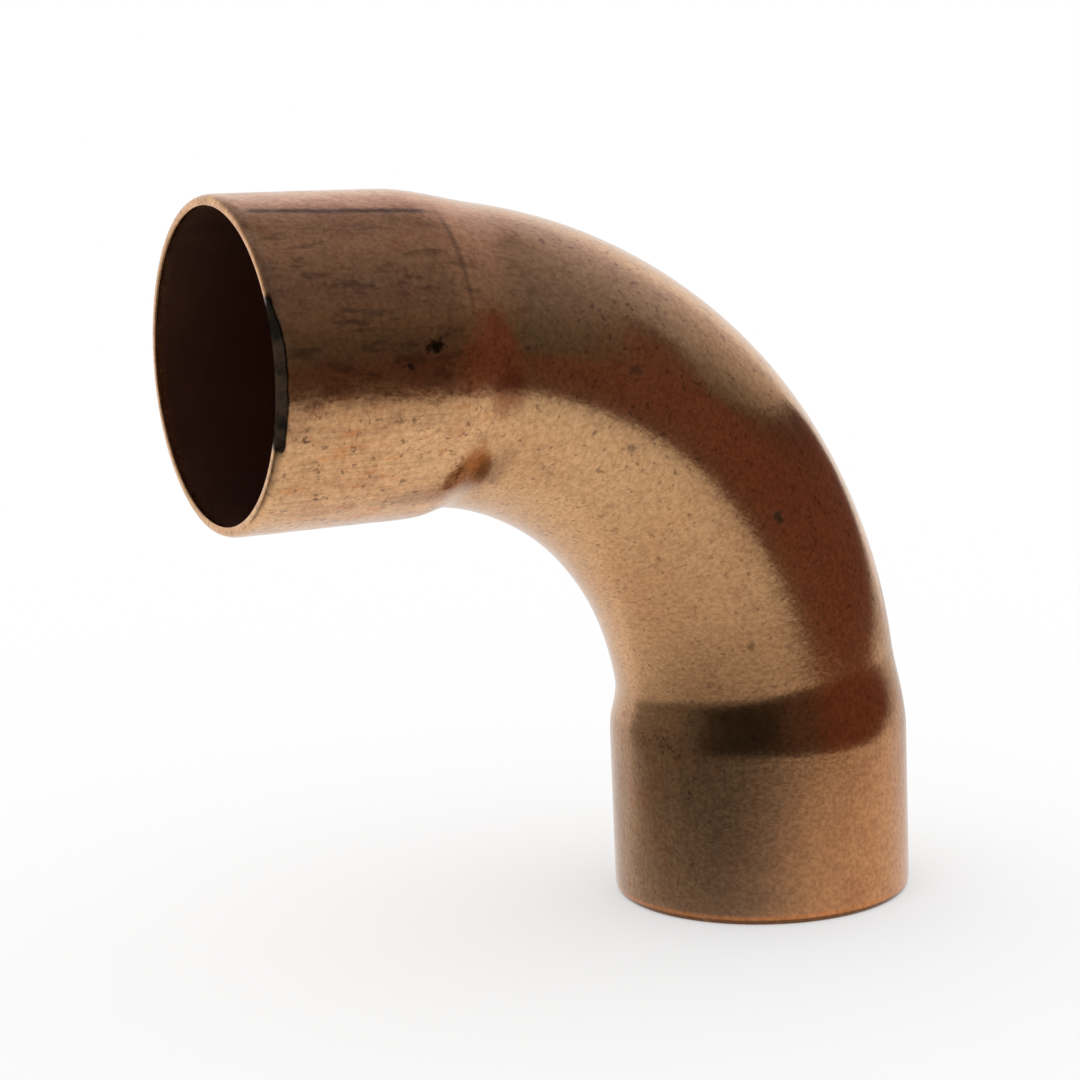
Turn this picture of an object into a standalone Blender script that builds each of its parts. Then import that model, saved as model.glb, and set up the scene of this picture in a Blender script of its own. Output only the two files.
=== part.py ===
"""A 90 degree copper elbow with a solder cup at each end, formed from one length of tube.

Run it with blender --background --python part.py, or from Blender's text editor. Units are metres, +Z up.
The lower cup opens downward (-Z) and the side cup opens sideways (-X). The bend lies in the XZ plane.
The world origin is the centre of the base of the bounding box, on the plane of the lower mouth.
The wall is one closed skin: the outside, one flat rim, the inside, the other flat rim.
"""

import math

import bmesh
import bpy
from mathutils import Matrix, Vector

# Driving dimensions, in metres.
TUBE_OD = 0.0420  # the pipe that slides into each cup
CUP_CLEARANCE = 0.0001  # cup bore less pipe diameter, the capillary gap across the joint
CUP_WALL = 0.0015
CUP_DEPTH = 0.0270  # from the mouth to the inside stop
BODY_OD = 0.0423
BODY_WALL = 0.0016
SHOULDER_START = 0.0245  # depth at which the outside begins to narrow
SHOULDER_LENGTH = 0.0110  # outside step from cup to body, along the centreline
STOP_LENGTH = 0.0040  # inside step that stops the pipe, along the centreline
BEND_RADIUS = 0.0580  # of the centreline
RIM_ROUND_RADIAL = 0.0006  # worn outer corner of each mouth
RIM_ROUND_AXIAL = 0.0016
RIM_BREAK = 0.0003  # inner corner of each mouth

# Mesh fineness.
SEGMENTS = 64
ROUND_STEPS = 3
SHOULDER_STEPS = 10
STOP_STEPS = 4
BEND_STEPS = 18
SHARP_ANGLE = math.radians(35)

# Derived sizes.
CUP_BORE_RADIUS = (TUBE_OD + CUP_CLEARANCE) / 2
CUP_RADIUS = CUP_BORE_RADIUS + CUP_WALL
BODY_RADIUS = BODY_OD / 2
BODY_BORE_RADIUS = BODY_RADIUS - BODY_WALL
CENTRE_TO_FACE = CUP_DEPTH + BEND_RADIUS
PATH_LENGTH = 2 * CUP_DEPTH + BEND_RADIUS * math.pi / 2
LOWER_AXIS_X = (CENTRE_TO_FACE - CUP_RADIUS) / 2

COPPER_COLOUR = (0.46, 0.26, 0.15, 1.0)
COPPER_ROUGHNESS = 0.34


def clear_scene():
    """Removes every object, so that the model starts from nothing."""
    for existing in list(bpy.data.objects):
        bpy.data.objects.remove(existing, do_unlink=True)


def centreline_frame(distance):
    """The cross-section frame at a distance along the centreline, from the lower mouth to the side mouth.

    Positions are relative to the crossing of the two port axes. The frame's Z axis points along the path.
    """
    turned = min(max((distance - CUP_DEPTH) / BEND_RADIUS, 0.0), math.pi / 2)
    if distance < CUP_DEPTH:
        place = Vector((0, 0, distance - CENTRE_TO_FACE))
    elif distance > PATH_LENGTH - CUP_DEPTH:
        place = Vector((PATH_LENGTH - CENTRE_TO_FACE - distance, 0, 0))
    else:
        bend_centre = Vector((-BEND_RADIUS, 0, -BEND_RADIUS))
        place = bend_centre + BEND_RADIUS * Vector((math.cos(turned), 0, math.sin(turned)))
    return Matrix.Translation(place) @ Matrix.Rotation(-turned, 4, "Y")


def eased(start, end, share):
    """A radius that leaves start and reaches end with no kink, for a share of the step from 0 to 1."""
    share = min(max(share, 0.0), 1.0)
    return start + (end - start) * (1 - math.cos(math.pi * share)) / 2


def outer_radius(depth):
    """Outside radius at a depth from the nearer mouth: rounded corner, cup, shoulder, body."""
    if depth < RIM_ROUND_AXIAL:
        sunk = 1 - depth / RIM_ROUND_AXIAL
        return CUP_RADIUS - RIM_ROUND_RADIAL * (1 - math.sqrt(1 - sunk * sunk))
    return eased(CUP_RADIUS, BODY_RADIUS, (depth - SHOULDER_START) / SHOULDER_LENGTH)


def inner_radius(depth):
    """Inside radius at a depth from the nearer mouth: broken corner, cup bore, pipe stop, body bore."""
    if depth < RIM_BREAK:
        return CUP_BORE_RADIUS + RIM_BREAK - depth
    return eased(CUP_BORE_RADIUS, BODY_BORE_RADIUS, (depth - CUP_DEPTH) / STOP_LENGTH)


def spaced(start, end, steps):
    """Depths from start to end in equal steps, without the start."""
    return [start + (end - start) * step / steps for step in range(1, steps + 1)]


def stations(corner_depths, step_start, step_length, step_count):
    """Distances along the whole path at which a wall has a ring, the same from both mouths."""
    first_half = corner_depths + [step_start]
    first_half += spaced(step_start, step_start + step_length, step_count)
    second_half = [PATH_LENGTH - depth for depth in reversed(first_half)]
    bend = spaced(first_half[-1], second_half[0], BEND_STEPS)
    return first_half + bend[:-1] + second_half


def add_ring(bm, distance, radius_at):
    """Adds one circle of the wall, square to the centreline, and returns its vertices in order."""
    depth = min(distance, PATH_LENGTH - distance)
    circle = bmesh.ops.create_circle(
        bm,
        cap_ends=False,
        segments=SEGMENTS,
        radius=radius_at(depth),
        matrix=centreline_frame(distance),
    )
    return circle["verts"]


def join_rings(bm, ring, following):
    """Fills the band between two rings with one quad for each segment, with no twist."""
    for here in range(SEGMENTS):
        beside = (here + 1) % SEGMENTS
        bm.faces.new((ring[here], ring[beside], following[beside], following[here]))


def elbow_mesh():
    """The elbow's wall as a closed run of rings: out along the outside, and back along the inside."""
    corner_angles = [math.pi / 2 * step / ROUND_STEPS for step in range(ROUND_STEPS + 1)]
    outer_corner = [RIM_ROUND_AXIAL * (1 - math.cos(angle)) for angle in corner_angles]
    outside = stations(outer_corner, SHOULDER_START, SHOULDER_LENGTH, SHOULDER_STEPS)
    inside = stations([0.0, RIM_BREAK], CUP_DEPTH, STOP_LENGTH, STOP_STEPS)

    bm = bmesh.new()
    rings = [add_ring(bm, distance, outer_radius) for distance in outside]
    rings += [add_ring(bm, distance, inner_radius) for distance in reversed(inside)]
    for ring, following in zip(rings, rings[1:] + rings[:1]):
        join_rings(bm, ring, following)
    bmesh.ops.recalc_face_normals(bm, faces=bm.faces)

    mesh = bpy.data.meshes.new("elbow")
    bm.to_mesh(mesh)
    bm.free()
    mesh.shade_smooth()
    mesh.set_sharp_from_angle(angle=SHARP_ANGLE)
    return mesh


def copper():
    """Aged bare copper."""
    material = bpy.data.materials.new("copper")
    material.use_nodes = True
    shader = material.node_tree.nodes["Principled BSDF"]
    shader.inputs["Base Color"].default_value = COPPER_COLOUR
    shader.inputs["Roughness"].default_value = COPPER_ROUGHNESS
    shader.inputs["Metallic"].default_value = 1.0
    return material


def build():
    """Makes the elbow and stands it on its lower mouth."""
    clear_scene()
    elbow = bpy.data.objects.new("elbow", elbow_mesh())
    elbow.data.materials.append(copper())
    elbow.location = (LOWER_AXIS_X, 0, CENTRE_TO_FACE)
    bpy.context.scene.collection.objects.link(elbow)


build()
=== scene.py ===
import math

import bmesh
import bpy
from mathutils import Matrix, Vector, noise


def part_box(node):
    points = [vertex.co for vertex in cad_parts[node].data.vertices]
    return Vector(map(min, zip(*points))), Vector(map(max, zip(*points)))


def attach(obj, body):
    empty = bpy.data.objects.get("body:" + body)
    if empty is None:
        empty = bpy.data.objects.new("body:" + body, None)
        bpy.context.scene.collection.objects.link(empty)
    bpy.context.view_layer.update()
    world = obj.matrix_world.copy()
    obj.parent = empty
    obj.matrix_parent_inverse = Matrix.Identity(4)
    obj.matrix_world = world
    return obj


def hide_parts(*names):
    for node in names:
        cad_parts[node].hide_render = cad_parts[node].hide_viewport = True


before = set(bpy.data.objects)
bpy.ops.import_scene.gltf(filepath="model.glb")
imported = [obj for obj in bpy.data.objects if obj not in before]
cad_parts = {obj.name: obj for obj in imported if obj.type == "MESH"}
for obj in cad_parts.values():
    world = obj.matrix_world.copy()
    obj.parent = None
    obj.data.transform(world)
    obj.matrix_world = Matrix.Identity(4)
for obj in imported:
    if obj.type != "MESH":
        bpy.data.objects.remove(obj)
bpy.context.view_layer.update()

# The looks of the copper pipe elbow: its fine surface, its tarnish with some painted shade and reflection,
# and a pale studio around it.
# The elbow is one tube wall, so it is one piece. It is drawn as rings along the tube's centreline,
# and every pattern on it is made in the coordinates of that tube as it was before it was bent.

ELBOW_LOW, ELBOW_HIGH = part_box("elbow")

# Sizes from the frame, in metres. The lower cup opens down and the side cup opens towards -X.
CUP_RADIUS = (ELBOW_HIGH.y - ELBOW_LOW.y) / 2
CENTRE_TO_FACE = ELBOW_HIGH.z - ELBOW_LOW.z - CUP_RADIUS
LOWER_AXIS_X = ELBOW_HIGH.x - CUP_RADIUS
CROSSING = Vector((LOWER_AXIS_X, 0, ELBOW_LOW.z + CENTRE_TO_FACE))  # where the two port axes meet

# The tube wall, the same as the CAD's.
CUP_WALL = 0.0015
CUP_DEPTH = 0.0270
BODY_RADIUS = 0.02115
BODY_WALL = 0.0016
SHOULDER_START = 0.0245  # depth at which the outside begins to narrow
SHOULDER_LENGTH = 0.0110
STOP_LENGTH = 0.0040
BEND_RADIUS = CENTRE_TO_FACE - CUP_DEPTH
PATH_LENGTH = 2 * CUP_DEPTH + BEND_RADIUS * math.pi / 2

# The worn edge of each mouth: its outer and its inner corner, and how far its middle stands out.
RIM_ROUND_RADIAL = 0.00060
RIM_ROUND_AXIAL = 0.0016
RIM_BREAK_RADIAL = 0.00016
RIM_BREAK_AXIAL = 0.00016
RIM_CROWN = 0.00003

# Mesh fineness.
AROUND = 224
CUP_STEP = 0.0009
SHOULDER_STEP = 0.00035
BEND_STEP = 0.0006
BORE_STEP = 0.0016
CORNER_STEPS = 7
CROWN_STEPS = 6

# Unevenness of the outside: the height and the size of one swell, on the bend and on the cups.
BEND_SWELL_HEIGHT = 0.00007
BEND_SWELL_SIZE = 0.016
CUP_SWELL_HEIGHT = 0.000025
CUP_SWELL_SIZE = 0.011
CUP_SWELL_STRETCH = 3  # how many times longer a swell on a cup is along the tube than across it

# The camera: angles about the crossing of the port axes, lengths in cup radii, and its lens in millimetres.
CAMERA_AZIMUTH = math.radians(-29.317)
CAMERA_ELEVATION = math.radians(7.871)
CAMERA_ROLL = math.radians(-2.414)
CAMERA_DISTANCE = 14.11
CAMERA_AIM = Vector((-2, 0, -2))  # from the crossing, before it is shifted across the view
CAMERA_SHIFT_RIGHT = 0.2905
CAMERA_SHIFT_UP = 0.7948
CAMERA_LENS = 74.46
SENSOR_WIDTH = 36.0

# The studio, in metres about the middle of the elbow's base.
FLOOR_HALF = 3.0
FLOOR_GAP = 0.00005
FLOOR_GLOW = 0.45  # share of the floor that gives its own light, which keeps the shadow faint
FLOOR_FADE = (0.2, 0.9)  # distances from the origin at which it starts and ends its fade to white

# The lit sheet. A ramp is where it starts and ends, then the level at its start and at its end.
SHEET_DROP = 0.030
SHEET_FRONT = -0.258
SHEET_HALF = 0.6
SHEET_FRONT_RAMP = (SHEET_FRONT - 0.02, -0.06, 0.53, 0.895)
SHEET_RIGHT_RAMP = (0.12, 0.32, 1.0, 0.82)
SHEET_LEFT_RAMP = (-0.192, 0.036, 0.0, 1.0)
SHEET_LEFT_SLANT = 0.15

# The dark card. Bearings run from the front (-Y) to the right (+X), in degrees.
CARD_DISTANCE = 0.21
CARD_STEPS = 8
CARD_OUTLINE = (  # bearing, lower edge, upper edge
    (11, -0.006, 0.002),
    (17, -0.008, 0.033),
    (22, -0.013, 0.058),
    (28, -0.015, 0.093),
    (35, -0.015, 0.120),
    (50, -0.009, 0.116),
    (60, -0.006, 0.121),
    (70, 0.002, 0.125),
    (88, 0.028, 0.127),
    (100, 0.044, 0.122),
    (107, 0.056, 0.110),
    (112, 0.072, 0.094),
)
CARD_FOOT = (  # a strip that carries the card on to the left, where it fades out
    (-24, 0.006, 0.080),
    (11, 0.004, 0.084),
    (28, 0.000, 0.093),
)
CARD_LEAF = (  # a leaf that rises above the card's upper edge
    (34, 0.110, 0.116),
    (46, 0.110, 0.176),
    (50, 0.126, 0.188),
    (58, 0.168, 0.206),
    (62, 0.205, 0.213),
)
CARD_FADE_IN = (-22, 10)  # bearings between which it turns from clear to solid
CARD_REDDENS = (14, 32)  # bearings between which it turns from brown to red
CARD_RED = (0.158, 0.073, 0.056, 1)
CARD_BROWN = (0.096, 0.060, 0.048, 1)
CARD_DARK = (0.070, 0.042, 0.040, 1)

# The room that the copper mirrors. Heights are sines of the elevation. Bearings run from straight ahead of
# the camera to its right, in degrees.
KEY_DIRECTION = (0.47, 0.81, 0.34)
KEY_LIGHT = 0.80
KEY_FALLOFF = 3.2
ROOM_LIGHT = 0.12
LEFT_LIFT = 1.12
LOW_RIGHT_LOSS = 0.26
OVERHEAD_SHARE = 0.70
BACKDROP_BEARING = -12
BACKDROP_TOP = 0.777
BACKDROP_LOSS = 0.36  # how much darker the room is above the backdrop
EDGE_LOSS = 0.35  # how much darker it is along the backdrop's upper edge
DARK_BEARING = -15  # middle of the dark behind the camera: degrees from the camera to the view's right
DARK_ROOM = (0.030, 0.027, 0.024, 1)
WARM_TINT = (1, 0.95, 0.9, 1)  # of the room low down
COOL_TINT = (1, 1.02, 1.28, 1)  # of the room high up
WHITE = (1, 1, 1, 1)


def mouth_depth(distance):
    """How deep a place along the path lies from the nearer mouth."""
    return min(distance, PATH_LENGTH - distance)


def eased(start, end, share):
    """A value that leaves start and reaches end with no kink, for a share of the step from 0 to 1."""
    share = min(max(share, 0.0), 1.0)
    return start + (end - start) * (1 - math.cos(math.pi * share)) / 2


def centreline_frame(distance):
    """The cross-section frame at a distance along the centreline from the lower mouth, about the crossing."""
    turned = min(max((distance - CUP_DEPTH) / BEND_RADIUS, 0.0), math.pi / 2)
    if distance < CUP_DEPTH:
        place = Vector((0, 0, distance - CENTRE_TO_FACE))
    elif distance > PATH_LENGTH - CUP_DEPTH:
        place = Vector((PATH_LENGTH - CENTRE_TO_FACE - distance, 0, 0))
    else:
        bend_centre = Vector((-BEND_RADIUS, 0, -BEND_RADIUS))
        place = bend_centre + BEND_RADIUS * Vector((math.cos(turned), 0, math.sin(turned)))
    return Matrix.Translation(CROSSING + place) @ Matrix.Rotation(-turned, 4, "Y")


def outer_radius(depth):
    """Outside radius at a depth from the nearer mouth: cup, shoulder, body."""
    return eased(CUP_RADIUS, BODY_RADIUS, (depth - SHOULDER_START) / SHOULDER_LENGTH)


def inner_radius(depth):
    """Inside radius at a depth from the nearer mouth: cup bore, pipe stop, body bore."""
    share = (depth - CUP_DEPTH) / STOP_LENGTH
    return eased(CUP_RADIUS - CUP_WALL, BODY_RADIUS - BODY_WALL, share)


def swell(distance, angle):
    """How far the outside lies from its drawn shape, left by the bending and by the sizing punch."""
    depth = mouth_depth(distance)
    on_cup = 1 - eased(0, 1, (depth - SHOULDER_START) / SHOULDER_LENGTH)
    place = Vector((BODY_RADIUS * math.cos(angle), BODY_RADIUS * math.sin(angle), distance))
    bend = noise.noise(place / BEND_SWELL_SIZE) * BEND_SWELL_HEIGHT
    stretched = Vector((place.x, place.y, place.z / CUP_SWELL_STRETCH)) / CUP_SWELL_SIZE
    cup = noise.noise(stretched + Vector((7, 3, 5))) * CUP_SWELL_HEIGHT
    fade = min(1.0, depth / RIM_ROUND_AXIAL)
    return fade * (bend * (1 - on_cup) + cup * on_cup) - fade * CUP_SWELL_HEIGHT * on_cup


def rim_profile():
    """Radius and depth of each ring over one cut edge, from the bore to the outside."""
    bore = CUP_RADIUS - CUP_WALL
    points = []
    for step in range(CORNER_STEPS):
        turn = math.pi / 2 * step / CORNER_STEPS
        radius = bore + RIM_BREAK_RADIAL * (1 - math.cos(turn))
        depth = RIM_BREAK_AXIAL * (1 - math.sin(turn))
        points.append((radius, depth + RIM_CROWN))
    flat_start = bore + RIM_BREAK_RADIAL
    flat_end = CUP_RADIUS - RIM_ROUND_RADIAL
    for step in range(CROWN_STEPS):
        share = step / CROWN_STEPS
        radius = flat_start + (flat_end - flat_start) * share
        points.append((radius, RIM_CROWN * (1 - math.sin(math.pi * share))))
    for step in range(CORNER_STEPS + 1):
        turn = math.pi / 2 * step / CORNER_STEPS
        radius = flat_end + RIM_ROUND_RADIAL * math.sin(turn)
        depth = RIM_CROWN + RIM_ROUND_AXIAL * (1 - math.cos(turn))
        points.append((radius, depth))
    return points


def spaced(start, end, step):
    """Distances from start to end in equal steps of about the given size, without either end."""
    count = max(2, round((end - start) / step))
    return [start + (end - start) * index / count for index in range(1, count)]


def wall_stations(first_depth, step_start, step_length, cup_step, shoulder_step, bend_step):
    """Distances along the path at which one side of the wall has a ring, the same from both mouths."""
    step_end = step_start + step_length
    half = spaced(first_depth, step_start, cup_step) + [step_start]
    half += spaced(step_start, step_end, shoulder_step) + [step_end]
    bend = spaced(step_end, PATH_LENGTH - step_end, bend_step)
    return half + bend + [PATH_LENGTH - distance for distance in reversed(half)]


def wall_rings():
    """Every ring of the wall in order, round the whole section, as (distance, radius, 1 if in the bore)."""
    rim = rim_profile()
    outside_steps = (CUP_STEP, SHOULDER_STEP, BEND_STEP)
    outside = wall_stations(rim[-1][1], SHOULDER_START, SHOULDER_LENGTH, *outside_steps)
    inside = wall_stations(rim[0][1], CUP_DEPTH, STOP_LENGTH, BORE_STEP, BORE_STEP / 3, BORE_STEP)
    rings = [(depth, radius, 0.0) for radius, depth in rim]
    rings += [(distance, outer_radius(mouth_depth(distance)), 0.0) for distance in outside]
    rings += [(PATH_LENGTH - depth, radius, 0.0) for radius, depth in reversed(rim)]
    rings += [(distance, inner_radius(mouth_depth(distance)), 1.0) for distance in reversed(inside)]
    return rings


def add_ring(bm, distance, radius, inside):
    """Adds one circle of the wall, square to the centreline, and returns its vertices in order."""
    straight = bm.verts.layers.float_vector["straight"]
    bore = bm.verts.layers.float["bore"]
    section = centreline_frame(distance)
    ring = []
    for index in range(AROUND):
        angle = 2 * math.pi * index / AROUND
        reach = radius if inside else radius + swell(distance, angle)
        vertex = bm.verts.new(section @ Vector((reach * math.cos(angle), reach * math.sin(angle), 0)))
        vertex[straight] = Vector((radius * math.cos(angle), radius * math.sin(angle), distance))
        vertex[bore] = inside
        ring.append(vertex)
    return ring


def join_rings(bm, ring, following):
    """Fills the band between two rings with quads."""
    for here in range(AROUND):
        beside = (here + 1) % AROUND
        bm.faces.new((ring[here], ring[beside], following[beside], following[here]))


def elbow_piece():
    """The whole wall as one closed skin, with the straightened tube's coordinates on every vertex."""
    bm = bmesh.new()
    bm.verts.layers.float_vector.new("straight")
    bm.verts.layers.float.new("bore")
    rings = [add_ring(bm, distance, radius, inside) for distance, radius, inside in wall_rings()]
    for ring, following in zip(rings, rings[1:] + rings[:1]):
        join_rings(bm, ring, following)
    bmesh.ops.recalc_face_normals(bm, faces=bm.faces)
    mesh = bpy.data.meshes.new("copper_elbow")
    bm.to_mesh(mesh)
    bm.free()
    mesh.shade_smooth()
    piece = bpy.data.objects.new("copper_elbow", mesh)
    bpy.context.scene.collection.objects.link(piece)
    return piece


class Graph:
    """A node tree, with one short call for each kind of node that this file uses."""

    def __init__(self, tree):
        self.tree = tree
        tree.nodes.clear()

    def add(self, kind, inputs, **settings):
        """Adds a node, sets its options, and feeds its inputs with values or with other nodes' outputs."""
        node = self.tree.nodes.new(kind)
        for name, value in settings.items():
            setattr(node, name, value)
        for socket, value in inputs.items():
            if isinstance(value, bpy.types.NodeSocket):
                self.tree.links.new(value, node.inputs[socket])
            else:
                node.inputs[socket].default_value = value
        return node

    def math(self, operation, first, second=0.0):
        return self.add("ShaderNodeMath", {0: first, 1: second}, operation=operation).outputs[0]

    def times(self, first, second):
        return self.math("MULTIPLY", first, second)

    def plus(self, first, second):
        return self.math("ADD", first, second)

    def minus(self, first, second):
        return self.math("SUBTRACT", first, second)

    def step(self, value, start, end, low=0.0, high=1.0):
        """Goes smoothly from low, where value is start, to high, where it is end."""
        inputs = {"Value": value, "From Min": start, "From Max": end, "To Min": low, "To Max": high}
        node = self.add("ShaderNodeMapRange", inputs, interpolation_type="SMOOTHSTEP")
        return node.outputs["Result"]

    def step_degrees(self, angle, start, end, low=0.0, high=1.0):
        """The same over an angle, with its start and end in degrees."""
        return self.step(angle, math.radians(start), math.radians(end), low, high)

    def blend(self, share, first, second, how="MIX"):
        """Goes from the first colour, where share is 0, to the second, where it is 1."""
        inputs = {0: share, 6: first, 7: second}
        node = self.add("ShaderNodeMix", inputs, data_type="RGBA", blend_type=how)
        return node.outputs[2]

    def scaled(self, vector, factors):
        """Stretches or shrinks a vector along each axis."""
        node = self.add("ShaderNodeVectorMath", {0: vector, 1: factors}, operation="MULTIPLY")
        return node.outputs[0]

    def noise(self, place, size, detail=2.0, roughness=0.5):
        """Cloudy noise whose patches are about size metres across, from 0 to 1."""
        inputs = {"Vector": place, "Scale": 1 / size, "Detail": detail, "Roughness": roughness}
        return self.add("ShaderNodeTexNoise", inputs).outputs["Fac"]

    def along(self, vector, direction):
        """How far the vector reaches in a direction."""
        node = self.add("ShaderNodeVectorMath", {0: vector, 1: direction}, operation="DOT_PRODUCT")
        return node.outputs["Value"]

    def split(self, vector):
        """The vector's X, Y and Z."""
        return self.add("ShaderNodeSeparateXYZ", {"Vector": vector}).outputs


# Colours of the metal and of what has grown on it, some also used for painted shade and reflection, as linear
# red, green and blue.
BRIGHT_COPPER = (0.63, 0.345, 0.165, 1)
GOLDEN_COPPER = (0.67, 0.39, 0.195, 1)
ORANGE_COPPER = (0.60, 0.265, 0.11, 1)
# Also used for painted shade on the edge that the elbow stands on.
RUST_ORANGE_AND_SHADE = (0.56, 0.19, 0.055, 1)
BROWN_COPPER = (0.40, 0.215, 0.115, 1)
DULL_BROWN = (0.24, 0.135, 0.078, 1)
SIDE_BROWN = (0.27, 0.130, 0.068, 1)
WARM_BROWN = (0.30, 0.155, 0.085, 1)
RED_OXIDE = (0.34, 0.12, 0.06, 1)
# Also used for painted shade on the edge that the elbow stands on, and for a painted reflected line on the
# side cup.
DARK_OXIDE_AND_SHADE = (0.07, 0.037, 0.022, 1)
BLACK_OXIDE = (0.010, 0.008, 0.006, 1)
GRIME_BROWN = (0.040, 0.026, 0.017, 1)
SHOULDER_RED = (0.33, 0.13, 0.06, 1)
SMUDGE_BROWN = (0.17, 0.085, 0.048, 1)
# The bore's oxide colour is also painted shade, which keeps the inside of the tube dark.
BORE_OXIDE_AND_SHADE = (0.34, 0.165, 0.11, 1)
GRAIN_SHADE = (0.66, 0.56, 0.50, 1)

# Pits: distance along the tube in metres, angle from the outside of the bend in degrees, size, strength.
PITS = (
    (0.1235, -85, 0.00085, 0.95),
    (0.1270, -91, 0.00045, 0.85),
    (0.0450, -121, 0.00050, 0.40),
    (0.0615, -90, 0.00070, 0.75),
    (0.0885, -110, 0.00055, 0.40),
    (0.0790, -141, 0.00050, 0.30),
    (0.0930, -83, 0.00060, 0.40),
    (0.0700, 35, 0.00060, 0.60),
    (0.1310, 60, 0.00050, 0.80),
    (0.0160, 110, 0.00060, 0.80),
)

# Tarnish, and painted shade and reflection where marked: colour, strength, distance, angle in degrees, half
# length, half width, softness, raggedness.
STAINS_AND_PAINTED_SHADE = (
    (DULL_BROWN, 0.84, 0.002, -122, 0.022, 0.0190, 0.60, 0.5),  # painted reflection of the dark in front of the lower cup, on its side towards the camera
    # Painted reflection of the dark in front of the lower cup, on its left side.
    (DULL_BROWN, 0.68, 0.008, 178, 0.026, 0.0085, 0.50, 0.5),
    (ORANGE_COPPER, 0.65, 0.010, -80, 0.030, 0.0150, 0.50, 0.6),
    (ORANGE_COPPER, 0.25, 0.052, -125, 0.022, 0.0200, 0.60, 0.5),  # the start of the bend
    (ORANGE_COPPER, 0.65, 0.131, -52, 0.022, 0.0180, 0.35, 0.5),  # warm upper half of the side cup
    (SIDE_BROWN, 0.35, 0.131, -92, 0.018, 0.0040, 0.65, 1.4),  # along the middle of the side cup
    (SHOULDER_RED, 0.88, 0.1118, -102, 0.0027, 0.0030, 0.60, 1.4),  # over the side shoulder
    # Painted reflection, in this row and the next two: the elbow's lower end and the shadow under it,
    # mirrored under the side shoulder.
    (WARM_BROWN, 0.42, 0.1090, -132, 0.0022, 0.0030, 0.70, 1.6),
    (WARM_BROWN, 0.50, 0.1122, -139, 0.0036, 0.0030, 0.70, 1.6),  # inside the side shoulder, a painted reflection of the elbow's lower end and the shadow under it
    (WARM_BROWN, 0.55, 0.1190, -143, 0.0095, 0.0018, 0.60, 0.9),
    (RUST_ORANGE_AND_SHADE, 0.55, 0.0000, -90, 0.0014, 0.0700, 0.15, 0.05),  # the edge that it stands on: painted shade here and in the next row, for the shadow under it, leaving a thin orange band
    (DARK_OXIDE_AND_SHADE, 0.80, 0.0000, -90, 0.0008, 0.0700, 0.20, 0.05),
    (DARK_OXIDE_AND_SHADE, 0.42, 0.1172, -50, 0.00035, 0.0085, 0.60, 0.4),  # the sizing punch's line
)

# Brown smudges on the side cup, and grime along part of its mouth: distance, angle, half length, half width.
SMUDGED = (0.132, -72, 0.018, 0.0150)
RIM_GRIME = (0.1451, -90.5, 0.0300, 0.0096)
GRIME_DEPTH = 0.0010
GRIME_THINS = (-84, -64)  # between these angles it thins, by up to GRIME_LOSS
GRIME_LOSS = 0.0008

# A painted reflection of the backdrop's upper edge, a dark line along the side cup: its angle at the shoulder
# and at the mouth, and its half width, in degrees.
MIRRORED_EDGE_LINE = (-31.5, -27.2, 1.5)
LINE_FADE = 0.002  # how far either side of the shoulder's start the line fades in
LINE_END = (0.0008, 0.0028)  # depths in the side mouth at which it has faded out and is whole

WORN_DEPTH = (0.0022, 0.0008)  # depths at which the worn brightness of the side mouth starts and is full
SIDE_CUP_END = 0.034  # depth at which the side cup's own marks have ended
ALONG_TUBE = (1.0, 1.0, 0.05)  # stretches a pattern to twenty times its width, along the tube
DASH_STRETCH = (1.0, 1.0, 0.28)


class Tube:
    """The straightened tube's coordinates as node outputs, for patterns that follow the tube."""

    def __init__(self, graph):
        self.straight = graph.add("ShaderNodeAttribute", {}, attribute_name="straight").outputs["Vector"]
        self.bore = graph.add("ShaderNodeAttribute", {}, attribute_name="bore").outputs["Fac"]
        parts = graph.split(self.straight)
        self.distance = parts["Z"]
        self.angle = graph.math("ARCTAN2", parts["Y"], parts["X"])
        depth = graph.math("MINIMUM", self.distance, graph.minus(PATH_LENGTH, self.distance))
        on_bend = graph.step(depth, SHOULDER_START, SHOULDER_START + SHOULDER_LENGTH)
        self.on_cup = graph.minus(1.0, on_bend)
        self.on_side_cup = graph.step(self.distance, PATH_LENGTH - SIDE_CUP_END, PATH_LENGTH - CUP_DEPTH)
        self.lengthwise = graph.scaled(self.straight, ALONG_TUBE)
        self.dashes = graph.scaled(self.straight, DASH_STRETCH)
        self.mottle = graph.noise(self.straight, 0.0040, 4.0, 0.65)
        self.grain = graph.noise(self.straight, 0.00070, 2.0, 0.65)
        self.coarse = graph.minus(graph.noise(self.straight, 0.0030, 4.0, 0.65), 0.5)
        self.fine = graph.minus(graph.noise(self.straight, 0.0009, 2.0, 0.6), 0.5)


def patch(graph, tube, distance, degrees, length, width, soft, uneven):
    """A share that is 1 in an oval patch of the outside and falls to 0 round it, with an uneven edge."""
    angle = math.radians(degrees)
    radius = outer_radius(mouth_depth(distance))
    middle = (radius * math.cos(angle), radius * math.sin(angle), distance)
    offset = graph.add("ShaderNodeVectorMath", {0: tube.straight, 1: middle}, operation="SUBTRACT")
    spread = graph.scaled(offset.outputs[0], (1 / width, 1 / width, 1 / length))
    reach = graph.add("ShaderNodeVectorMath", {0: spread}, operation="LENGTH").outputs["Value"]
    return graph.step(graph.plus(reach, uneven), 1 + soft, 1 - soft)


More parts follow.
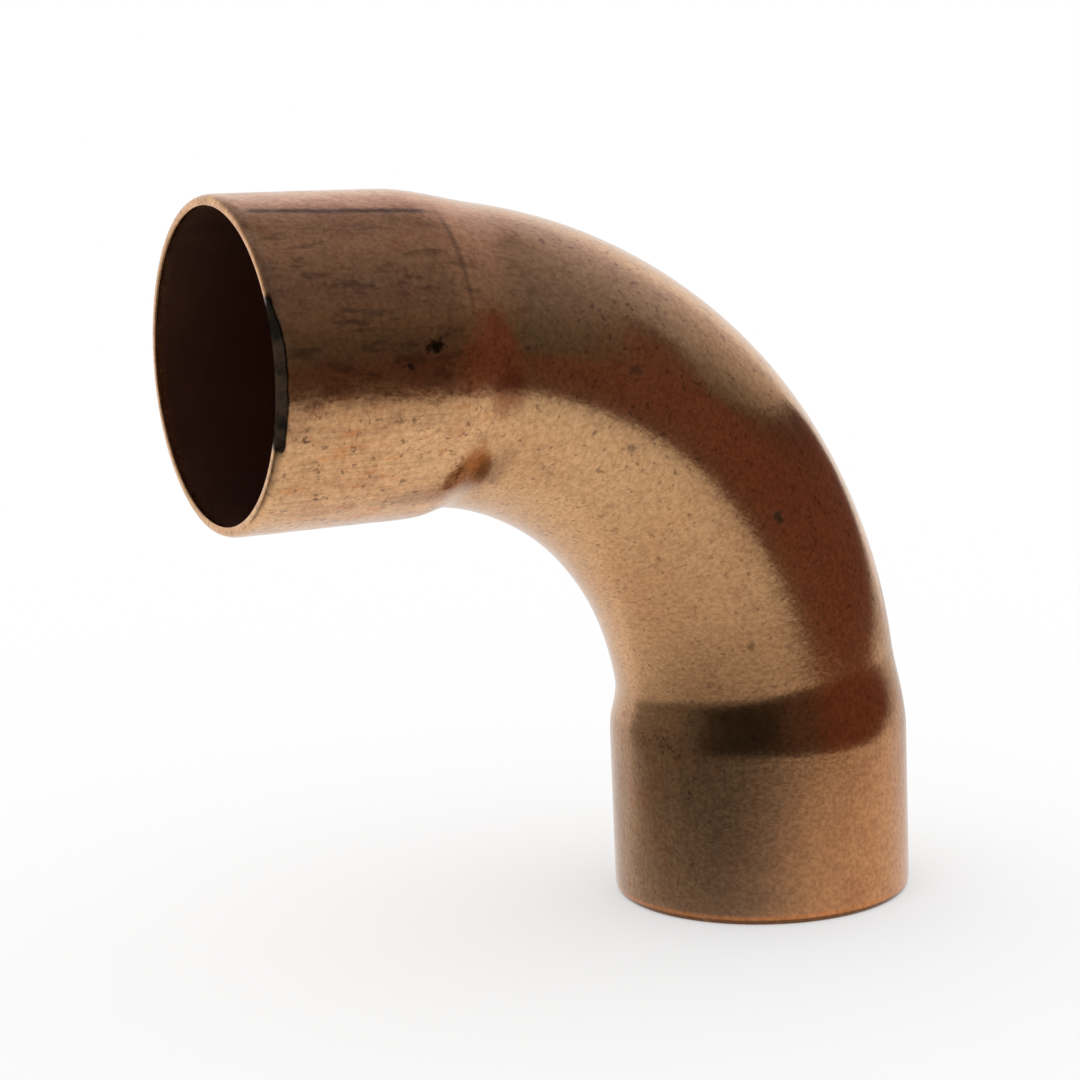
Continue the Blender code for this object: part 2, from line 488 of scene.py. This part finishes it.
def pits(graph, tube):
    """How black the pits are: each one's strength inside it, falling to 0 over a ragged edge."""
    share = None
    ragged = graph.times(tube.fine, 2.6)
    for distance, degrees, size, strength in PITS:
        spot = patch(graph, tube, distance, degrees, size * 1.4, size, 0.60, ragged)
        spot = graph.times(spot, strength)
        share = spot if share is None else graph.math("MAXIMUM", share, spot)
    return share


def bare_metal(graph, tube):
    """Copper without stains: soft clouds and brown mottling."""
    clouds = graph.noise(tube.straight, 0.020, 3.0)
    colour = graph.blend(graph.step(clouds, 0.35, 0.70), GOLDEN_COPPER, BRIGHT_COPPER)
    return graph.blend(graph.step(tube.mottle, 0.50, 0.80, 0.0, 0.55), colour, BROWN_COPPER)


def mirrored_edge_line(graph, tube):
    """A share that is 1 on the thin dark line along the side cup, a painted reflection of the backdrop's
    upper edge.
    """
    at_shoulder, at_mouth, half = (math.radians(degrees) for degrees in MIRRORED_EDGE_LINE)
    start = PATH_LENGTH - CUP_DEPTH
    inputs = {
        "Value": tube.distance,
        "From Min": start,
        "From Max": PATH_LENGTH,
        "To Min": at_shoulder,
        "To Max": at_mouth,
    }
    middle = graph.add("ShaderNodeMapRange", inputs).outputs["Result"]
    off = graph.math("ABSOLUTE", graph.minus(tube.angle, middle))
    off = graph.plus(off, graph.times(tube.fine, half))
    along = graph.step(tube.distance, start - LINE_FADE, start + LINE_FADE)
    along = graph.times(along, graph.step(graph.minus(PATH_LENGTH, tube.distance), *LINE_END))
    return graph.times(graph.step(off, half * 1.5, half * 0.2), along)


def drawing_marks(graph, tube, colour):
    """Adds streaks, orange flecks and hairline scratches on the cups, and dark dashes and specks all over."""
    fine_streaks = graph.noise(tube.lengthwise, 0.0006, 3.0, 0.65)
    streaked = graph.times(graph.step(fine_streaks, 0.46, 0.72, 0.0, 0.34), tube.on_cup)
    colour = graph.blend(streaked, colour, DULL_BROWN)
    broad_streaks = graph.noise(tube.lengthwise, 0.0028, 3.0, 0.6)
    banded = graph.times(graph.step(broad_streaks, 0.48, 0.72, 0.0, 0.42), tube.on_cup)
    colour = graph.blend(banded, colour, BROWN_COPPER)

    flecks = graph.step(graph.noise(tube.dashes, 0.0015, 3.0, 0.6), 0.56, 0.68)
    colour = graph.blend(graph.times(flecks, graph.times(tube.on_cup, 0.50)), colour, RUST_ORANGE_AND_SHADE)

    crowd = graph.step(graph.noise(tube.straight, 0.009, 2.0), 0.42, 0.62, 0.25, 1.0)
    dashes = graph.step(graph.noise(tube.dashes, 0.00060, 2.0, 0.6), 0.63, 0.72)
    strength = graph.plus(graph.times(tube.on_side_cup, 0.25), 0.45)
    colour = graph.blend(graph.times(graph.times(dashes, crowd), strength), colour, DULL_BROWN)

    specks = graph.step(graph.noise(tube.straight, 0.0010, 1.0), 0.65, 0.73)
    strength = graph.plus(graph.times(tube.on_side_cup, 0.15), 0.65)
    colour = graph.blend(graph.times(specks, strength), colour, DULL_BROWN)
    spots = graph.step(graph.noise(tube.dashes, 0.0011, 3.0, 0.7), 0.66, 0.72)
    colour = graph.blend(graph.times(spots, graph.times(tube.on_side_cup, 0.75)), colour, DARK_OXIDE_AND_SHADE)

    off_contour = graph.math("ABSOLUTE", graph.minus(graph.noise(tube.straight, 0.0060, 4.0, 0.6), 0.5))
    scratches = graph.times(graph.step(off_contour, 0.012, 0.003), graph.step(tube.mottle, 0.52, 0.62))
    return graph.blend(graph.times(scratches, graph.times(tube.on_cup, 0.8)), colour, DARK_OXIDE_AND_SHADE)


def stained_and_shaded(graph, tube, colour):
    """Adds the stains one by one, some of them painted shade and reflection, then smudges on the side cup,
    red clouds on both cups, and brown blotches.
    """
    for shade, strength, distance, degrees, length, width, soft, ragged in STAINS_AND_PAINTED_SHADE:
        uneven = graph.times(tube.coarse, ragged)
        share = patch(graph, tube, distance, degrees, length, width, soft, uneven)
        colour = graph.blend(graph.times(share, strength), colour, shade)
    smudges = graph.step(graph.noise(tube.dashes, 0.0021, 3.0, 0.65), 0.53, 0.66)
    region = patch(graph, tube, *SMUDGED, 0.5, graph.times(tube.coarse, 0.8))
    colour = graph.blend(graph.times(graph.times(smudges, region), 0.55), colour, SMUDGE_BROWN)
    warm = graph.step(graph.noise(tube.straight, 0.007, 4.0, 0.6), 0.52, 0.66)
    colour = graph.blend(graph.times(warm, graph.times(tube.on_cup, 0.28)), colour, RED_OXIDE)
    blotches = graph.step(graph.noise(tube.straight, 0.0022, 3.0, 0.65), 0.58, 0.70)
    return graph.blend(graph.times(blotches, 0.30), colour, WARM_BROWN)


def grained(graph, tube, colour):
    """Adds a fine grain, lighter and darker, over everything, and lightens the side cup."""
    shaded = graph.step(tube.grain, 0.42, 0.66, 0.0, 0.48)
    colour = graph.blend(shaded, colour, GRAIN_SHADE, "MULTIPLY")
    bright = graph.plus(graph.step(tube.grain, 0.46, 0.34, 1.0, 1.10), graph.times(tube.on_side_cup, 0.13))
    return graph.blend(1.0, colour, bright, "MULTIPLY")


def grime(graph, tube):
    """A share that is 1 on the grime along part of the side mouth, where its depth is uneven."""
    lies = patch(graph, tube, *RIM_GRIME, 0.14, graph.times(tube.coarse, 0.25))
    depth = graph.minus(PATH_LENGTH, tube.distance)
    depth = graph.plus(depth, graph.times(tube.coarse, 0.0007))
    thinner = graph.step_degrees(tube.angle, *GRIME_THINS, 0.0, GRIME_LOSS)
    depth = graph.plus(depth, thinner)
    return graph.times(lies, graph.step(depth, GRIME_DEPTH * 1.5, GRIME_DEPTH * 0.7))


def copper_colour(graph, tube, pitted, grimy):
    """Metal under drawing marks, tarnish and painted shade, worn bright at the side mouth, with a painted
    reflected line, then grime, pits and the bore, whose oxide is also painted shade.
    """
    colour = stained_and_shaded(graph, tube, drawing_marks(graph, tube, bare_metal(graph, tube)))
    near_mouth = graph.step(graph.minus(PATH_LENGTH, tube.distance), *WORN_DEPTH)
    worn = graph.times(near_mouth, graph.step(tube.mottle, 0.65, 0.40, 0.3, 1.0))
    colour = graph.blend(graph.times(worn, 0.6), colour, GOLDEN_COPPER)
    # Painted reflection: the dark line where the backdrop's upper edge is mirrored on the side cup.
    colour = graph.blend(graph.times(mirrored_edge_line(graph, tube), 0.75), colour, DARK_OXIDE_AND_SHADE)
    colour = grained(graph, tube, colour)
    grime_shade = graph.blend(graph.step(tube.mottle, 0.40, 0.62), GRIME_BROWN, BLACK_OXIDE)
    colour = graph.blend(graph.step(grimy, 0.0, 0.5), colour, grime_shade)
    colour = graph.blend(pitted, colour, BLACK_OXIDE)
    # The bore: brown oxide, and also painted shade that keeps the inside of the tube dark.
    return graph.blend(tube.bore, colour, BORE_OXIDE_AND_SHADE)


def copper_roughness(graph, tube, pitted):
    """Uneven everywhere, most of all on the side cup, and rougher in the pits and the bore."""
    uneven = graph.times(tube.coarse, graph.plus(graph.times(tube.on_side_cup, 0.22), 0.12))
    roughness = graph.plus(graph.times(tube.on_side_cup, 0.03), 0.18)
    roughness = graph.plus(roughness, uneven)
    roughness = graph.plus(roughness, graph.times(pitted, 0.3))
    return graph.plus(roughness, graph.times(tube.bore, 0.25))


def copper_relief(graph, tube, pitted):
    """Orange-peel grain, lengthwise marks on the cups, dents that are deepest on the side cup, and pits."""
    grain = graph.times(graph.noise(tube.straight, 0.0007, 3.0, 0.6), 0.95)
    on_lower_cup = graph.minus(tube.on_cup, tube.on_side_cup)
    marked = graph.plus(graph.times(on_lower_cup, 0.7), graph.times(tube.on_side_cup, 0.2))
    marks = graph.times(graph.noise(tube.lengthwise, 0.0005, 3.0, 0.6), marked)
    dents = graph.noise(tube.straight, 0.0040, 2.0, 0.5)
    dents = graph.times(dents, graph.plus(graph.times(tube.on_side_cup, 5.0), 0.8))
    height = graph.minus(graph.plus(graph.plus(grain, marks), dents), graph.times(pitted, 1.5))
    bump = graph.add("ShaderNodeBump", {"Strength": 1.0, "Distance": 0.00002, "Height": height})
    return bump.outputs["Normal"]


def copper_material():
    """Aged bare copper, metallic all over apart from the grime and a trace of oxide in the bore."""
    material = bpy.data.materials.new("aged_copper")
    material.use_nodes = True
    graph = Graph(material.node_tree)
    tube = Tube(graph)
    pitted = pits(graph, tube)
    grimy = grime(graph, tube)
    matt = graph.step(grimy, 0.45, 1.0)
    inputs = {
        "Base Color": copper_colour(graph, tube, pitted, grimy),
        "Metallic": graph.minus(1.0, graph.math("MAXIMUM", graph.times(tube.bore, 0.035), matt)),
        "Roughness": graph.plus(copper_roughness(graph, tube, pitted), graph.times(matt, 0.3)),
        "Specular IOR Level": 0.0,
        "Normal": copper_relief(graph, tube, pitted),
    }
    shader = graph.add("ShaderNodeBsdfPrincipled", inputs)
    graph.add("ShaderNodeOutputMaterial", {"Surface": shader.outputs[0]})
    return material


def stage_object(name, bm, material):
    """Turns mesh data into an object of the studio."""
    mesh = bpy.data.meshes.new(name)
    bm.to_mesh(mesh)
    bm.free()
    mesh.materials.append(material)
    piece = bpy.data.objects.new(name, mesh)
    bpy.context.scene.collection.objects.link(piece)
    return piece


def stage_material(name):
    """A material for the studio, and the graph of its nodes."""
    material = bpy.data.materials.new(name)
    material.use_nodes = True
    material.cycles.emission_sampling = "NONE"
    return material, Graph(material.node_tree)


def only_mirrored(piece):
    """Shows an object only in the copper."""
    piece.visible_camera = False
    piece.visible_diffuse = False
    piece.visible_shadow = False


def floor():
    """A plain pale floor, clear from below and fading to white far off. The copper doesn't mirror it."""
    material, graph = stage_material("pale_floor")
    lit = graph.add("ShaderNodeBsdfDiffuse", {"Color": WHITE})
    glow = graph.add("ShaderNodeEmission", {"Color": WHITE, "Strength": 1.0})
    clear = graph.add("ShaderNodeBsdfTransparent", {})
    softened = graph.add("ShaderNodeMixShader", {0: FLOOR_GLOW, 1: lit.outputs[0], 2: glow.outputs[0]})
    geometry = graph.add("ShaderNodeNewGeometry", {}).outputs
    far = graph.add("ShaderNodeVectorMath", {0: geometry["Position"]}, operation="LENGTH").outputs["Value"]
    gone = graph.math("MAXIMUM", geometry["Backfacing"], graph.step(far, *FLOOR_FADE))
    mixed = graph.add("ShaderNodeMixShader", {0: gone, 1: softened.outputs[0], 2: clear.outputs[0]})
    graph.add("ShaderNodeOutputMaterial", {"Surface": mixed.outputs[0]})
    bm = bmesh.new()
    place = Matrix.Translation((0, 0, ELBOW_LOW.z - FLOOR_GAP))
    bmesh.ops.create_grid(bm, x_segments=1, y_segments=1, size=FLOOR_HALF, matrix=place)
    square = stage_object("floor", bm, material)
    square.visible_glossy = False


def lit_sheet():
    """The bright sheet that the copper mirrors from below: it ends in front and fades out on the left."""
    material, graph = stage_material("lit_sheet")
    place = graph.split(graph.add("ShaderNodeNewGeometry", {}).outputs["Position"])
    near_front = graph.step(place["Y"], *SHEET_FRONT_RAMP)
    far_right = graph.step(place["X"], *SHEET_RIGHT_RAMP)
    light = graph.add("ShaderNodeEmission", {"Strength": graph.times(near_front, far_right)})
    clear = graph.add("ShaderNodeBsdfTransparent", {})
    slanted = graph.plus(place["X"], graph.times(place["Y"], SHEET_LEFT_SLANT))
    solid = graph.step(slanted, *SHEET_LEFT_RAMP)
    mixed = graph.add("ShaderNodeMixShader", {0: solid, 1: clear.outputs[0], 2: light.outputs[0]})
    graph.add("ShaderNodeOutputMaterial", {"Surface": mixed.outputs[0]})
    bm = bmesh.new()
    middle = Matrix.Translation((0, SHEET_FRONT + SHEET_HALF, ELBOW_LOW.z - SHEET_DROP))
    bmesh.ops.create_grid(bm, x_segments=1, y_segments=1, size=SHEET_HALF, matrix=middle)
    only_mirrored(stage_object("lit_sheet", bm, material))


def bend_card(bm, outline):
    """Adds a strip with the given outline, bent round the upright line through the origin."""
    columns = [outline[0]]
    for start, end in zip(outline, outline[1:]):
        for step in range(1, CARD_STEPS + 1):
            share = step / CARD_STEPS
            columns.append([here + (there - here) * share for here, there in zip(start, end)])
    edge = None
    for degrees, low, high in columns:
        turn = math.radians(degrees)
        across = Vector((math.sin(turn), -math.cos(turn), 0)) * CARD_DISTANCE
        bottom = bm.verts.new(across + Vector((0, 0, low)))
        top = bm.verts.new(across + Vector((0, 0, high)))
        if edge:
            bm.faces.new((edge[0], bottom, top, edge[1]))
        edge = (bottom, top)


def card_colour(graph, turn, height):
    """Brown on the left, red from the front right on, and darker high up on the far right."""
    redness = graph.step_degrees(turn, *CARD_REDDENS)
    colour = graph.blend(redness, CARD_BROWN, CARD_RED)
    high = graph.times(graph.step(height, 0.085, 0.120), graph.step_degrees(turn, 42, 62))
    return graph.blend(graph.times(high, 0.75), colour, CARD_DARK)


def dark_card():
    """A red-brown card curved round the front right, which gives the copper its dark band."""
    material, graph = stage_material("dark_card")
    place = graph.split(graph.add("ShaderNodeNewGeometry", {}).outputs["Position"])
    turn = graph.math("ARCTAN2", place["X"], graph.times(place["Y"], -1.0))
    colour = card_colour(graph, turn, place["Z"])
    light = graph.add("ShaderNodeEmission", {"Color": colour, "Strength": 1.0})
    clear = graph.add("ShaderNodeBsdfTransparent", {})
    solid = graph.step_degrees(turn, *CARD_FADE_IN)
    mixed = graph.add("ShaderNodeMixShader", {0: solid, 1: clear.outputs[0], 2: light.outputs[0]})
    graph.add("ShaderNodeOutputMaterial", {"Surface": mixed.outputs[0]})
    bm = bmesh.new()
    for outline in (CARD_OUTLINE, CARD_FOOT, CARD_LEAF):
        bend_card(bm, outline)
    only_mirrored(stage_object("dark_card", bm, material))


class Sky:
    """Where in the room a mirrored direction points, as node outputs."""

    def __init__(self, graph):
        self.direction = graph.add("ShaderNodeTexCoord", {}).outputs["Generated"]
        self.up = graph.split(self.direction)["Z"]
        away = Vector((-math.sin(CAMERA_AZIMUTH), math.cos(CAMERA_AZIMUTH), 0))
        right = Vector((math.cos(CAMERA_AZIMUTH), math.sin(CAMERA_AZIMUTH), 0))
        rightward = graph.along(self.direction, right)
        self.bearing = graph.math("ARCTAN2", rightward, graph.along(self.direction, away))
        offset = graph.minus(self.bearing, math.radians(BACKDROP_BEARING))
        self.off_backdrop = graph.math("ABSOLUTE", offset)


def room_light(graph, sky):
    """The room's level: lit softly from behind, dimmer low on the right, overhead and above the backdrop."""
    facing = graph.times(graph.plus(graph.along(sky.direction, KEY_DIRECTION), 1.0), 0.5)
    level = graph.plus(graph.times(graph.math("POWER", facing, KEY_FALLOFF), KEY_LIGHT), ROOM_LIGHT)
    level = graph.times(level, graph.step_degrees(sky.bearing, -60, -100, 1.0, LEFT_LIFT))
    low_right = graph.times(graph.step_degrees(sky.bearing, 48, 80), graph.step(sky.up, 0.50, 0.20))
    level = graph.times(level, graph.minus(1.0, graph.times(low_right, LOW_RIGHT_LOSS)))
    level = graph.times(level, graph.step(sky.up, 0.35, 0.90, 1.0, OVERHEAD_SHARE))

    over_backdrop = graph.step_degrees(sky.off_backdrop, 85, 50)
    above = graph.times(over_backdrop, graph.step(sky.up, BACKDROP_TOP - 0.010, BACKDROP_TOP + 0.010))
    level = graph.times(level, graph.minus(1.0, graph.times(above, BACKDROP_LOSS)))
    off_edge = graph.math("ABSOLUTE", graph.minus(sky.up, BACKDROP_TOP))
    edge = graph.times(over_backdrop, graph.step(off_edge, 0.022, 0.008))
    return graph.times(level, graph.minus(1.0, graph.times(edge, EDGE_LOSS)))


def behind_camera(graph, sky):
    """A share that is 1 in the dark behind the camera."""
    from_front = graph.minus(math.pi, graph.math("ABSOLUTE", sky.bearing))
    rightward = graph.times(graph.math("SIGN", sky.bearing), from_front)
    off_middle = graph.math("ABSOLUTE", graph.minus(rightward, math.radians(DARK_BEARING)))
    at_height = graph.times(graph.step(sky.up, 0.6, 0.3), graph.step(sky.up, -0.25, -0.10))
    return graph.times(graph.step_degrees(off_middle, 58, 15), at_height)


def backdrop(graph, sky):
    """A share that is 1 on the white backdrop behind the elbow."""
    return graph.times(graph.step_degrees(sky.off_backdrop, 53, 43), graph.step(sky.up, 0.62, 0.42))


def room():
    """The surroundings: even white for the floor, and for the copper a dim room lit from behind."""
    world = bpy.data.worlds.new("studio")
    bpy.context.scene.world = world
    world.use_nodes = True
    world.cycles.sampling_method = "NONE"
    graph = Graph(world.node_tree)
    sky = Sky(graph)
    tint = graph.blend(graph.step(sky.up, 0.2, 0.7), WARM_TINT, COOL_TINT)
    scaled = {0: tint, "Scale": room_light(graph, sky)}
    studio = graph.add("ShaderNodeVectorMath", scaled, operation="SCALE").outputs[0]
    studio = graph.blend(behind_camera(graph, sky), studio, DARK_ROOM)
    studio = graph.blend(backdrop(graph, sky), studio, WHITE)
    mirrored = graph.add("ShaderNodeLightPath", {}).outputs["Is Glossy Ray"]
    shown = graph.blend(mirrored, WHITE, studio)
    background = graph.add("ShaderNodeBackground", {"Color": shown, "Strength": 1.0})
    graph.add("ShaderNodeOutputWorld", {"Surface": background.outputs[0]})


def camera():
    """The camera, at a distance and angle given about the crossing of the two port axes."""
    azimuth, elevation, roll = CAMERA_AZIMUTH, CAMERA_ELEVATION, CAMERA_ROLL
    back = Vector((
        math.sin(azimuth) * math.cos(elevation),
        -math.cos(azimuth) * math.cos(elevation),
        math.sin(elevation),
    ))
    level_right = Vector((math.cos(azimuth), math.sin(azimuth), 0))
    level_up = back.cross(level_right)
    right = math.cos(roll) * level_right + math.sin(roll) * level_up
    up = math.cos(roll) * level_up - math.sin(roll) * level_right
    aim = CROSSING + CUP_RADIUS * (CAMERA_AIM + CAMERA_SHIFT_RIGHT * right + CAMERA_SHIFT_UP * up)
    data = bpy.data.cameras.new("camera")
    data.lens = CAMERA_LENS
    data.sensor_width = SENSOR_WIDTH
    data.clip_start = 0.01
    data.clip_end = 20
    eye = bpy.data.objects.new("camera", data)
    eye.matrix_world = Matrix((right, up, back)).transposed().to_4x4()
    eye.location = aim + CUP_RADIUS * CAMERA_DISTANCE * back
    bpy.context.scene.collection.objects.link(eye)
    bpy.context.scene.camera = eye


piece = elbow_piece()
piece.data.materials.append(copper_material())
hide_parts("elbow")
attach(piece, "root")

floor()
lit_sheet()
dark_card()
room()
camera()
bpy.context.scene.view_settings.view_transform = "Standard"
